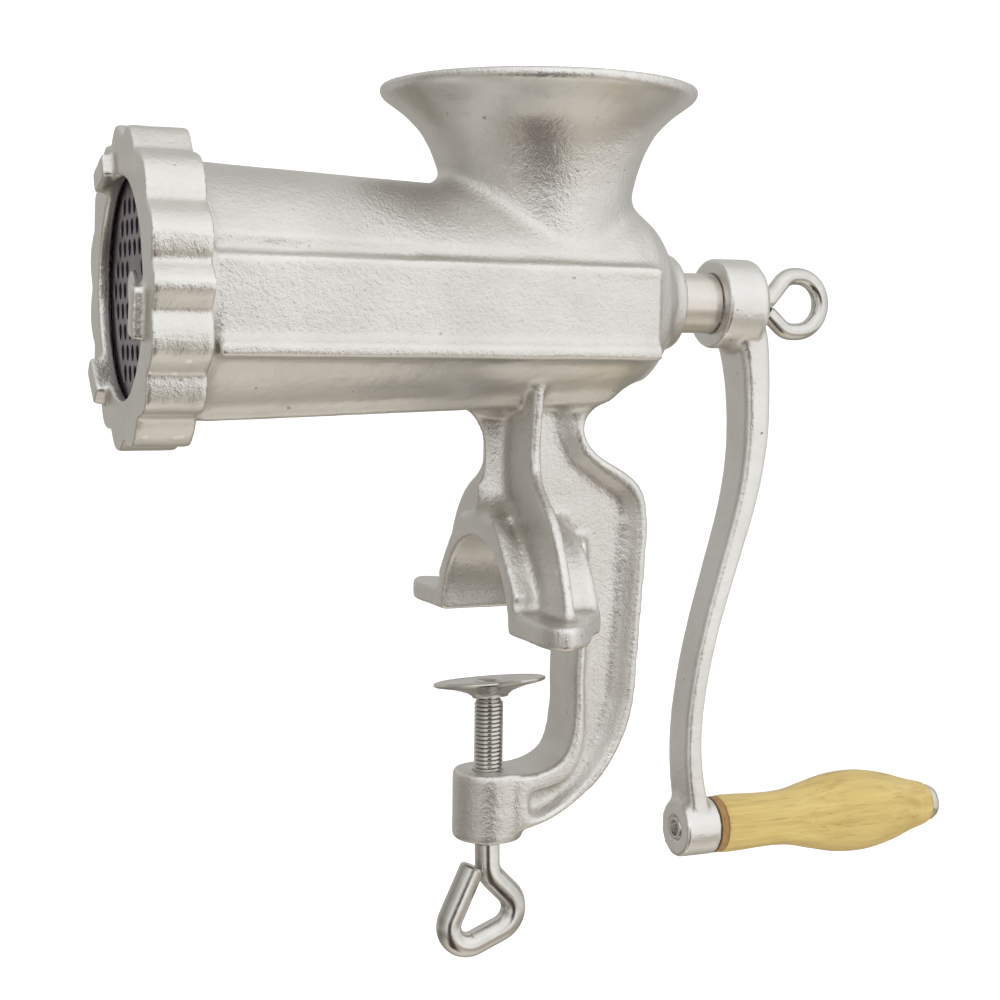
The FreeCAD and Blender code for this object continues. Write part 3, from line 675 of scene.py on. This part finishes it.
# %% Casting: the finished body
voxels(body_casting, BODY_VOXEL)
swell(body_casting, -HAIR)
settle(body_casting)
points = read_points(body_casting.data)
slope_hollow(points)
press_cove(points)
narrow_nose(points)
write_points(body_casting.data, points)
filleted(body_casting, BODY_VOXEL, 0.8 * MM)
x, y, z = read_points(body_casting.data).T
reach = np.abs(y)
round_end = rise(x, 11.0, 20.0) * rise(z, 45.0, 50.0) * fall(z, 56.0, 66.0) * fall(reach, 17.0, 25.0)
leg_back = (x > 5.6) & (x < 23.0) & (z > 8.0) & (z < 33.0) & (reach > 5.6) & (reach < 26.0)
cove = rise(z, 84.9, 86.0) * fall(z, 89.0, 91.0) * (y < NEAR_SIDE) * (x > PANEL_ENDS[0]) * (x < PANEL_ENDS[1])
frame_bar = fall(reach, 9.0, 11.0) * rise(x, 5.0, 7.0) * fall(z, 40.0, 48.0)
soften_part(body_casting, "cove", cove, 8)
soften_part(body_casting, "heel", round_end, 50)
soften_part(body_casting, "legs", leg_back * 1.0, 22)
soften_part(body_casting, "frame", frame_bar, 3)
cast_skin(body_casting, 2, 0.16 * MM, 1)
hand_over(body_casting, "casting", "tinned_iron", CAST_SKIN, *BODY_NODES)

# %% [markdown]
# ## The ring nut
# The ring's scallops were cut in the pattern by hand, so they aren't evenly spaced. Its solid has even lobes,
# and the points of the rim are moved round the axis to where the hollows are, and outward a little because
# the hollows are shallow. The three lugs on its face are smoothed more than the rest.

# %% Casting: ring nut
RING_AXIS = 77.0
RING_FACE = -88.3
RING_BACK = (-73.8, -75.4)
RIM_START = 30.2
RIM_TOP = 35.6
HOLLOW_SHARE = 0.66
EVEN_HOLLOWS = [-58.0, -34.0, -10.0, 14.0, 38.0, 62.0]
REAL_HOLLOWS = [-51.0, -29.0, -4.5, 12.0, 37.0, 66.0]


def scallop(points):
    x, y, z = points.T
    radius = np.hypot(y, z - RING_AXIS)
    angle = np.degrees(np.arctan2(z - RING_AXIS, -y))
    ends = [-180.0, -106.0], [110.0, 180.0]
    moved = np.interp(angle, ends[0] + EVEN_HOLLOWS + ends[1], ends[0] + REAL_HOLLOWS + ends[1])
    rim = radius > RIM_START
    new_radius = np.where(rim, RIM_TOP - (RIM_TOP - radius) * HOLLOW_SHARE, radius)
    turned_to = np.radians(np.where(rim, moved, angle))
    points[:, 1] = -new_radius * np.cos(turned_to)
    points[:, 2] = RING_AXIS + new_radius * np.sin(turned_to)
    shorter = (RING_BACK[1] - RING_FACE) / (RING_BACK[0] - RING_FACE)
    points[:, 0] = np.where(x > RING_FACE, RING_FACE + (x - RING_FACE) * shorter, x)


ring_nut = joined_copy("scalloped_ring", NODES["ring_nut"].data)
voxels(ring_nut, 0.42 * MM)
settle(ring_nut)
points = read_points(ring_nut.data)
scallop(points)
write_points(ring_nut.data, points)
filleted(ring_nut, 0.42 * MM, 0.6 * MM)
soften_part(ring_nut, "lugs", (read_points(ring_nut.data)[:, 0] < RING_FACE - 0.4) * 1.0, 8)
cast_skin(ring_nut, 3, 0.20 * MM, 5)
hand_over(ring_nut, "ring", "tinned_iron", RING_SKIN, "ring_nut")

# %% [markdown]
# ## The crank
# The crank is a casting of its own, cleaner than the body because the hand is on it.

# %% Casting: crank
crank_arm = joined_copy("curved_crank", NODES["crank_arm"].data)
filleted(crank_arm, 0.40 * MM, 1.6 * MM)
cast_skin(crank_arm, 2, 0.16 * MM, 9)
hand_over(crank_arm, "crank", "tinned_iron", CRANK_SKIN, "crank_arm")

# %% [markdown]
# ## Bent rods
# The eye screw and the clamp screw are round rod, bent in a flat loop and cut off. A tube along straight
# runs and tangent arcs is the honest shape. The corners and radii below are those of the real bends, and
# one function turns them into a line of points, another puts rings of points round that line.

# %% Helpers for bent rod


def bent_line(corners, radii, step=0.5 * MM):
    """Points along straight runs through the corners, with an arc of each radius at each bend."""
    points = [corners[0]]
    for before, corner, after, radius in zip(corners, corners[1:], corners[2:], radii):
        back = (before - corner).normalized()
        ahead = (after - corner).normalized()
        half = back.angle(ahead) / 2
        centre = corner + (back + ahead).normalized() * (radius / math.sin(half))
        start = corner + back * (radius / math.tan(half)) - centre
        end = corner + ahead * (radius / math.tan(half)) - centre
        sweep = start.angle(end)
        onward = (-back).normalized() * radius
        count = max(int(sweep * radius / step), 4)
        for index in range(count + 1):
            angle = sweep * index / count
            points.append(centre + start * math.cos(angle) + onward * math.sin(angle))
    points.append(corners[-1])
    return points


def rings_between(count, sides):
    """Faces between rings of points that follow one another, and a cap at each end."""
    faces = []
    for ring in range(count - 1):
        for turn in range(sides):
            here = ring * sides + turn
            beside = ring * sides + (turn + 1) % sides
            faces.append((here, beside, beside + sides, here + sides))
    last = (count - 1) * sides
    return faces + [tuple(range(sides))[::-1], tuple(range(last, last + sides))]


def tube(name, line, radii, sides=40):
    """Rings of points round a line in the XZ plane."""
    points = []
    across = Vector((0.0, 1.0, 0.0))
    for index, (point, radius) in enumerate(zip(line, radii)):
        ahead = (line[min(index + 1, len(line) - 1)] - line[max(index - 1, 0)]).normalized()
        side = across.cross(ahead).normalized()
        for turn in range(sides):
            angle = 2 * math.pi * turn / sides
            points.append(point + (side * math.cos(angle) + across * math.sin(angle)) * radius)
    return mesh_piece(name, points, rings_between(len(line), sides))


def blunt(line, rod, chamfer):
    """Radii along a rod's line, with its last end filed to a chamfer."""
    line.insert(-1, line[-1] + (line[-2] - line[-1]).normalized() * chamfer)
    return [rod] * (len(line) - 1) + [rod - chamfer]


def in_plane(pairs, lift=0.0):
    return [Vector((x, 0.0, z + lift)) * MM for x, z in pairs]


print("bent rod helpers ready")

# %% [markdown]
# ## The eye screw
# One rod makes both the thread that goes into the shaft and the eye that fingers turn. The shank is a
# little thicker than the bent part. The eye's free end is tucked back against the neck.

# %% Eye screw
AXIS_HEIGHT = 77.0
EYE_ROD = 2.15
EYE_SHANK = 2.42
EYE_CORNERS = [(50.0, 0.0), (74.6, 0.9), (80.0, 7.4), (90.2, 7.4), (90.2, -6.6), (80.0, -6.6), (74.6, -1.9)]
EYE_BENDS = [2.0, 5.0, 6.95, 6.95, 5.0]

line = bent_line(in_plane(EYE_CORNERS, AXIS_HEIGHT), [bend * MM for bend in EYE_BENDS])
shank_end = line[0] + Vector((22.4, 0.0, 0.3)) * MM
neck = shank_end + Vector((0.9, 0.0, 0.1)) * MM
line[1:1] = [shank_end, neck]
radii = blunt(line, EYE_ROD * MM, 0.5 * MM)
radii[0] = radii[1] = EYE_SHANK * MM
bent_eye = tube("bent_eye_screw", line, radii)
smooth_faces(bent_eye, 40)
hand_over(bent_eye, "eye_screw", "plated_steel", ROD_STEEL, "eye_screw")

# %% [markdown]
# ## The clamp screw
# Its loop is bent from the same rod that carries the thread. The thread is a true helix: the radius at
# each point follows from how far its height and its angle are from the crest. That takes one formula on
# a grid of points, and no sweeping of a profile. The head at the top is hammered over the disc.

# %% Clamp screw
PITCH = 1.0
CREST = 3.5
ROOT = 2.9
THREAD_TOP = -18.8
THREAD_END = -54.6
DISC_TOP = -14.0
LOOP_ROD = 3.05
LOOP_CORNERS = [(0.0, -53.6), (0.2, -61.4), (11.4, -72.8), (-14.6, -83.3), (-3.6, -59.6)]
LOOP_BENDS = [6.5, 5.6, 5.0]
SCREW_SIDES = 48


def thread_radius(height, turn):
    """A rounded ridge that climbs one pitch each turn, and fades out at both ends of the thread."""
    phase = (height / PITCH - turn) % 1.0
    ridge = min(1.0, 2.4 * (1.0 - abs(2.0 * phase - 1.0)))
    fade = min(1.0, max(0.0, (THREAD_TOP - height) / 0.8), max(0.0, (height - THREAD_END) / 0.8))
    return ROOT + (CREST - ROOT) * ridge * fade


def screw_points():
    """The rivet head and neck as plain rings, then the thread ring by ring."""
    plain = [(0.6, 0.42), (2.2, 0.30), (3.3, 0.0), (3.6, -0.5), (3.5, -0.9), (2.4, -1.0), (2.4, -4.5), (ROOT, -4.7)]
    rings = [[(radius, DISC_TOP + drop)] * SCREW_SIDES for radius, drop in plain]
    count = int((THREAD_TOP - THREAD_END) / PITCH * 10)
    for index in range(count + 1):
        height = THREAD_TOP + (THREAD_END - THREAD_TOP) * index / count
        rings.append([(thread_radius(height, turn / SCREW_SIDES), height) for turn in range(SCREW_SIDES)])
    points = []
    for ring in rings:
        for turn, (radius, height) in enumerate(ring):
            angle = 2 * math.pi * turn / SCREW_SIDES
            points.append(Vector((radius * math.cos(angle), radius * math.sin(angle), height)) * MM)
    return points, len(rings)


points, ring_count = screw_points()
faces = [face[::-1] for face in rings_between(ring_count, SCREW_SIDES)]
threaded_rod = mesh_piece("threaded_rod", points, faces)
smooth_faces(threaded_rod, 60)
line = bent_line(in_plane(LOOP_CORNERS), [bend * MM for bend in LOOP_BENDS])
bent_loop = tube("bent_loop", line, blunt(line, LOOP_ROD * MM, 0.5 * MM))
smooth_faces(bent_loop, 40)
hand_over(threaded_rod, "screw", "plated_steel", ROD_STEEL, "clamp_screw")
hand_over(bent_loop, "screw", "plated_steel", ROD_STEEL, "clamp_screw")

# %% [markdown]
# ## Turned and pressed pieces
# The disc, the grip, its pin and its end washer are all round, so each is one outline turned about an axis.
# A smooth outline is drawn through a few points with a Catmull-Rom curve, which passes through every point,
# so the numbers are diameters that a turner could check with callipers.

# %% Helper for turned pieces


def eased(outline, steps):
    """More points along a smooth curve through the outline's points."""
    ends = [outline[0]] + outline + [outline[-1]]
    smooth = []
    for a, b, c, d in zip(ends, ends[1:], ends[2:], ends[3:]):
        for index in range(steps):
            t = index / steps
            smooth.append(tuple(
                0.5 * (2 * q + (r - p) * t + (2 * p - 5 * q + 4 * r - s) * t * t + (3 * q - p - 3 * r + s) * t ** 3)
                for p, q, r, s in zip(a, b, c, d)))
    return smooth + [outline[-1]]


def turned(name, outline, axis, height, sides=72):
    """Turn (along, radius) pairs in millimetres round the X or the Z axis, at a height."""
    points = []
    for along, radius in outline:
        for turn in range(sides):
            angle = 2 * math.pi * turn / sides
            across, up = radius * math.cos(angle), radius * math.sin(angle)
            place = (along, across, up + height) if axis == "X" else (across, up, along + height)
            points.append(Vector(place) * MM)
    return mesh_piece(name, points, rings_between(len(outline), sides))


def face_outward(piece):
    form = bmesh.new()
    form.from_mesh(piece.data)
    bmesh.ops.recalc_face_normals(form, faces=form.faces)
    form.to_mesh(piece.data)
    form.free()


print("turning helpers ready")

# %% [markdown]
# ## The clamp disc
# A pressed steel saucer sits loose under the rivet head and hangs a little askew, as such discs do. It
# stays on its own body, because the screw turns in it.

# %% Clamp disc
DISC_OUTLINE = [(-1.0, 3.0), (-0.95, 4.0), (-0.35, 5.2), (-0.1, 9.0), (0.0, 12.9), (-0.2, 13.45), (-0.55, 13.6),
                (-0.9, 13.45), (-1.15, 12.9), (-1.9, 9.0), (-3.0, 5.6), (-3.7, 4.6), (-4.3, 4.2), (-4.3, 3.0)]
SIDE_TILT = math.radians(5.0)
NEAR_TILT = math.radians(-6.5)

pressed_disc = turned("pressed_disc", DISC_OUTLINE, "Z", 0.0)
tilt = Matrix.Rotation(SIDE_TILT, 4, axes[2]) @ Matrix.Rotation(NEAR_TILT, 4, axes[0])
pressed_disc.data.transform(Matrix.Translation((0.0, 0.0, DISC_TOP * MM)) @ tilt)
face_outward(pressed_disc)
smooth_faces(pressed_disc, 40)
hand_over(pressed_disc, "disc", "plated_steel", ROD_STEEL, "clamp_disc")

# %% [markdown]
# ## The grip and its pin
# The wooden grip swells where the palm is and is thin at both ends. It turns on a steel pin whose
# inner end is riveted in the crank's boss with a shallow dimple, and whose outer end holds a domed washer.

# %% Grip, pin and washer
GRIP_HEIGHT = -55.5
GRIP_OUTLINE = [(63.7, 6.6), (64.1, 7.2), (66.0, 7.3), (70.0, 7.2), (78.0, 6.9), (84.5, 7.3), (91.0, 8.8),
                (98.5, 10.3), (106.5, 10.5), (114.5, 9.1), (121.0, 7.1), (126.4, 5.7), (127.2, 5.0)]
PIN_OUTLINE = [(53.6, 0.3), (53.4, 1.3), (52.4, 1.75), (51.5, 1.9), (51.4, 2.2), (51.4, 2.7), (51.6, 2.9),
               (129.1, 2.9), (129.1, 0.3)]
WASHER_OUTLINE = [(127.3, 0.3), (127.3, 4.4), (127.6, 4.8), (128.6, 4.8), (129.8, 4.2), (130.5, 2.8), (130.7, 0.3)]

turned_grip = turned("turned_grip", eased(GRIP_OUTLINE, 6), "X", GRIP_HEIGHT, 96)
face_outward(turned_grip)
smooth_faces(turned_grip, 50)
hand_over(turned_grip, "grip", "wood", WOOD, "wood_grip")
riveted_pin = turned("riveted_pin", PIN_OUTLINE, "X", GRIP_HEIGHT, 40)
domed_washer = turned("domed_washer", WASHER_OUTLINE, "X", GRIP_HEIGHT, 48)
for piece, node_name in ((riveted_pin, "handle_pin"), (domed_washer, "handle_end_washer")):
    face_outward(piece)
    smooth_faces(piece, 50)
    hand_over(piece, "crank", "plated_steel", ROD_STEEL, node_name)

# %% [markdown]
# ## The grinding plate
# The plate is drilled steel. Each hole's rim is eased by a drill, so a narrow bevel goes on every sharp
# edge of the solid. The bevel's angle limit leaves the flat faces between the holes alone.

# %% Grinding plate
PLATE_RIM = 25.0 * MM


def painted_hole_shade():
    """Painted shade for the inside of a drilled hole: near-black and without specular."""
    material, tree, shader = new_material("drilled_hole_shade")
    marks = place_group(tree, drawn, Along=0.4, Across=1.5).outputs
    colour = blend_colours(tree, marks["Lines"], (0.012, 0.009, 0.013), (0.030, 0.024, 0.032))
    tree.links.new(colour, shader.inputs["Base Color"])
    shader.inputs["Roughness"].default_value = 0.7
    shader.inputs["Specular IOR Level"].default_value = 0.0
    return material


HOLE_SHADE = painted_hole_shade()
drilled_plate = joined_copy("drilled_plate", NODES["grinding_plate"].data)
rims = drilled_plate.modifiers.new("rims", "BEVEL")
rims.width = 0.18 * MM
rims.segments = 2
rims.limit_method = "ANGLE"
rims.angle_limit = math.radians(60)
settle(drilled_plate)
smooth_faces(drilled_plate, 35)
hand_over(drilled_plate, "plate", "plate_steel", PLATE_STEEL, "grinding_plate")
# Painted shade: the walls inside the holes are near-black, where shade falls in them.
drilled_plate.data.materials.append(HOLE_SHADE)
for face in drilled_plate.data.polygons:
    out_from_axis = math.hypot(face.center.y, face.center.z - AXIS_HEIGHT * MM)
    face.material_index = int(abs(face.normal.x) < 0.3 and out_from_axis < PLATE_RIM)

# %% [markdown]
# ## Plain pieces
# Pieces whose solid is already right only take a finish. Their smooth shading is set by angle, so round
# walls look round and cut edges stay crisp. They keep their node names, and no new object is made. The
# auger takes two finishes: its worm is as cast and its journal is turned bright.

# %% Finish the plain nodes
PLAIN = {
    "knife": PLATE_STEEL,
    "knife_stud": ROD_STEEL,
    "plate_key_pin": PLATE_STEEL,
    "thrust_washer": FIBRE,
    "auger": CAST_SKIN,
    "grip_collar": FIBRE,
}
JOURNAL_START = 30.9 * MM
for node_name, material in PLAIN.items():
    node = NODES[node_name]
    node.data.materials.clear()
    node.data.materials.append(material)
    smooth_faces(node, 35)
auger = NODES["auger"].data
auger.materials.append(JOURNAL_STEEL)
for face in auger.polygons:
    face.material_index = int(face.center.x > JOURNAL_START)
print("finished", len(PLAIN), "plain nodes")

# %% [markdown]
# ## Floor
# A white sweep under and behind the grinder keeps the background plain. It bends up behind the object in a
# quarter circle, so no line shows where the floor ends. A grinder hangs from a table's edge by its clamp and
# doesn't stand on its screw, so the floor lies just below the loop's place when the clamp is fully open.

# %% Floor
SCREW_DROP = 13.0
FLOOR_GAP = 0.8
FLOOR_Z = CAD_BOX[0][2] - (SCREW_DROP + FLOOR_GAP) * MM
SWEEP_NEAR = -1.6
SWEEP_FAR = 1.3
SWEEP_BEND = 0.5
SWEEP_HEIGHT = 2.4
SWEEP_HALF_WIDTH = 2.6


def sweep_profile():
    line = [(SWEEP_NEAR, FLOOR_Z), (SWEEP_FAR, FLOOR_Z)]
    for step in range(1, 17):
        angle = math.pi / 2 * step / 16
        line.append((SWEEP_FAR + SWEEP_BEND * math.sin(angle), FLOOR_Z + SWEEP_BEND * (1 - math.cos(angle))))
    line.append((SWEEP_FAR + SWEEP_BEND, FLOOR_Z + SWEEP_HEIGHT))
    return line


profile = sweep_profile()
points = [(x, y, z) for y, z in profile for x in (-SWEEP_HALF_WIDTH, SWEEP_HALF_WIDTH)]
faces = [(2 * i, 2 * i + 1, 2 * i + 3, 2 * i + 2) for i in range(len(profile) - 1)]
floor = mesh_piece("white_sweep", points, faces)
smooth_faces(floor)
paper, tree, shader = new_material("white_paper")
shader.inputs["Base Color"].default_value = (0.95, 0.95, 0.95, 1.0)
shader.inputs["Roughness"].default_value = 0.9
shader.inputs["Emission Color"].default_value = (1.0, 1.0, 1.0, 1.0)
shader.inputs["Emission Strength"].default_value = 0.12
floor.data.materials.append(paper)
floor.visible_glossy = False
print("floor at", round(FLOOR_Z / MM, 1), "mm")

# %% [markdown]
# ## The reflecting tent
# Bare metal shows what is around it, so its shading is made by the surroundings more than by lamps. A tent
# round the scene is seen only in reflections: bright cloth in front and a little above, dimmer overhead, at
# the left and behind, and dim and warm below. The dim parts draw darker lines along the outer edges, so that
# pale metal stands out from a white background. One dark patch low in front is the shade that anyone who
# works before a bright tent throws; it makes the dark streak down the flare of the hopper.

# %% Reflecting tent
TENT_RADIUS = 4.0
WHITE = (1.0, 1.0, 1.0)
CLOTH_BY_HEIGHT = [(0.0, (0.74, 0.695, 0.635)), (0.10, (0.64, 0.595, 0.535)), (0.21, (0.38, 0.345, 0.30)),
                   (0.29, (0.52, 0.48, 0.43)), (0.36, (0.97, 0.955, 0.93)), (0.46, (0.84, 0.835, 0.82)),
                   (0.55, (0.85, 0.85, 0.845)), (0.70, (0.96, 0.96, 0.96)), (1.0, (0.82, 0.82, 0.81))]
CLOTH_BY_DEPTH = [(0.0, WHITE), (0.45, (0.96, 0.96, 0.96)), (0.62, (0.66, 0.655, 0.64)), (1.0, (0.47, 0.46, 0.44))]
CLOTH_BY_SIDE = [(0.0, (0.38, 0.37, 0.35)), (0.06, (0.52, 0.51, 0.49)), (0.17, (0.84, 0.83, 0.82)),
                 (0.34, WHITE), (0.75, WHITE), (1.0, (0.80, 0.80, 0.80))]
SHADE_SIDE = 0.39
SHADE_COLOUR = (0.06, 0.045, 0.04)
CLOTH_GLOW = 1.18


def ramp(tree, value, stops):
    node = add(tree, "ShaderNodeValToRGB", {"Fac": value})
    marks = node.color_ramp.elements
    while len(marks) < len(stops):
        marks.new(0.5)
    for mark, (place, colour) in zip(marks, stops):
        mark.position = place
        mark.color = (*colour, 1.0)
    return node.outputs["Color"]


def tent_cloth():
    material = bpy.data.materials.new("tent_cloth")
    material.use_nodes = True
    tree = material.node_tree
    tree.nodes.clear()
    place = add(tree, "ShaderNodeTexCoord").outputs["Object"]
    axis = add(tree, "ShaderNodeSeparateXYZ", {0: place}).outputs
    height, depth, side = (span(tree, axis[label], -TENT_RADIUS, TENT_RADIUS) for label in ("Z", "Y", "X"))
    cloth = ramp(tree, height, CLOTH_BY_HEIGHT)
    inward = ramp(tree, depth, CLOTH_BY_DEPTH)
    sideways = ramp(tree, side, CLOTH_BY_SIDE)
    aside = maths(tree, "ABSOLUTE", maths(tree, "SUBTRACT", side, SHADE_SIDE), 0.0)
    shade = maths(tree, "MULTIPLY", span(tree, aside, 0.17, 0.09), span(tree, depth, 0.42, 0.34))
    shade = maths(tree, "MULTIPLY", shade, span(tree, height, 0.56, 0.47))
    shade = maths(tree, "MULTIPLY", shade, span(tree, height, 0.01, 0.05))
    for more in (inward, sideways):
        both = add(tree, "ShaderNodeMix", {0: 1.0, 6: cloth, 7: more}, data_type="RGBA", blend_type="MULTIPLY")
        cloth = both.outputs[2]
    cloth = blend_colours(tree, shade, cloth, SHADE_COLOUR)
    glow = add(tree, "ShaderNodeEmission", {"Color": cloth, "Strength": CLOTH_GLOW})
    output = tree.nodes.new("ShaderNodeOutputMaterial")
    tree.links.new(glow.outputs[0], output.inputs["Surface"])
    material.cycles.emission_sampling = "NONE"
    return material


form = bmesh.new()
bmesh.ops.create_icosphere(form, subdivisions=5, radius=TENT_RADIUS)
mesh = bpy.data.meshes.new("reflecting_tent")
form.to_mesh(mesh)
form.free()
tent = new_piece("reflecting_tent", mesh)
tent.data.materials.append(tent_cloth())
for ray in ("camera", "diffuse", "shadow", "transmission", "volume_scatter"):
    setattr(tent, "visible_" + ray, False)
print("tent of", len(mesh.polygons), "faces")

# %% [markdown]
# ## Lamps
# Soft panels light the wood and the floor. They are left out of reflections, where the tent does all the work.
# The white world fills the shadows on the floor.

# %% Lamps
AIM = Vector((0.0, 0.0, 20.0)) * MM


def soft_panel(name, place, size, watts):
    panel = bpy.data.lights.new(name, "AREA")
    panel.shape = "RECTANGLE"
    panel.size, panel.size_y = size
    panel.energy = watts
    lamp = bpy.data.objects.new(name, panel)
    bpy.context.scene.collection.objects.link(lamp)
    lamp.location = place
    lamp.rotation_euler = (AIM - Vector(place)).to_track_quat("-Z", "Y").to_euler()
    lamp.visible_camera = False
    lamp.visible_glossy = False
    return lamp


soft_panel("key_panel", (-0.75, -0.75, 0.65), (0.5, 0.5), 4.5)
soft_panel("top_panel", (0.15, 0.1, 1.2), (1.0, 1.0), 3.0)
soft_panel("right_panel", (0.85, -0.65, 0.30), (0.3, 0.8), 2.0)
world = bpy.data.worlds.new("pale_room")
world.use_nodes = True
world.node_tree.nodes["Background"].inputs["Color"].default_value = (1.0, 1.0, 1.0, 1.0)
world.node_tree.nodes["Background"].inputs["Strength"].default_value = 1.0
bpy.context.scene.world = world
bpy.context.scene.view_settings.view_transform = "Standard"
